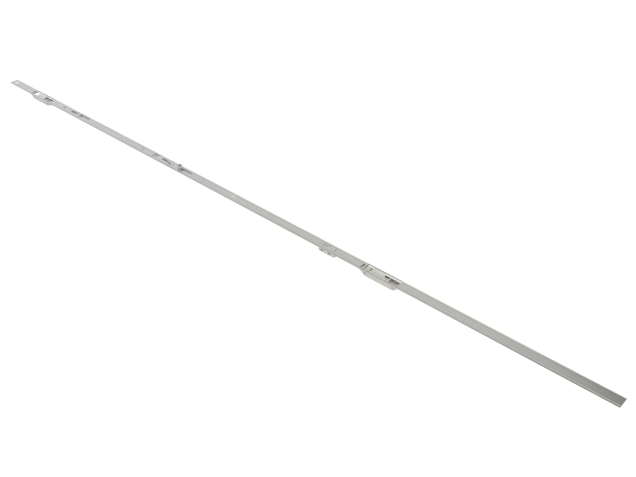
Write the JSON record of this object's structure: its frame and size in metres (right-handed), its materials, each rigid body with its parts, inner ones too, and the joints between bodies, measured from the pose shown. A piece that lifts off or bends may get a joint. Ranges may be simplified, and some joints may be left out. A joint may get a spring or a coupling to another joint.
{
  "type": "espagnolette bar",
  "caption": "Long grooved-window locking bar: a narrow faceplate over a sliding rod with mushroom cam, toothed coupling, sprung guard lever and slant-nosed claws in open cases.",
  "frame": {"origin": "middle of the bar's length and width, level with the underside of the cases", "axes": "+X along the bar to its plain end, +Y across the bar to the open side of the cases, +Z out of the faceplate"},
  "size_m": [1.2, 0.016, 0.0144],
  "materials": {
    "zinc_strip": "silver zinc plate on rolled steel strip, satin",
    "zinc_rod": "silver zinc plate on steel, dull",
    "cast_zinc": "plated zinc die casting, satin",
    "bright_steel": "bright zinc plate on steel",
    "spring_steel": "drawn spring steel",
    "cam_steel": "turned steel, smooth",
    "dark_steel": "dark plated steel"
  },
  "bodies": {
    "base": {"faceplate_near": "zinc_strip", "faceplate_far": "zinc_strip", "joint_strips": "zinc_strip", "case_a": "cast_zinc", "case_b": "cast_zinc", "guard_housing": "cast_zinc", "guard_pin": "dark_steel", "guard_spring": "spring_steel", "housing_clip": "spring_steel", "guide_bracket": "cast_zinc", "guide_rivets": "bright_steel", "guide_screw": "bright_steel", "guide_nut": "zinc_rod"},
    "drive": {"rod_near": "zinc_rod", "rod_far": "zinc_rod", "coupling_saddle": "bright_steel", "clamp_screw": "bright_steel", "claw_a_block": "bright_steel", "claw_a_outer_leaf": "bright_steel", "claw_a_inner_leaf": "bright_steel", "claw_a_rivets": "dark_steel", "claw_b_block": "bright_steel", "claw_b_outer_leaf": "bright_steel", "claw_b_inner_leaf": "bright_steel", "claw_b_rivets": "dark_steel", "cam_stud": "cam_steel", "cam_washer": "bright_steel"},
    "roller": {"cam_roller": "cam_steel"},
    "lever": {"guard_lever": "bright_steel"}
  },
  "joints": [
    {"name": "drive_slide", "type": "slide", "parent": "base", "child": "drive", "axis": [1, 0, 0], "range_m": [0, 0.018]},
    {"name": "roller_spin", "type": "hinge", "parent": "drive", "child": "roller", "pos_m": [-0.1182, 0, 0.01085], "axis": [0, 0, 1], "continuous": true},
    {"name": "lever_tilt", "type": "hinge", "parent": "base", "child": "lever", "pos_m": [-0.1365, 0, 0.0034], "axis": [0, -1, 0], "range_deg": [0, 20], "stiffness_Nm_per_rad": 0.02, "springref_deg": -57.3, "deforming": ["guard_spring"]}
  ]
}
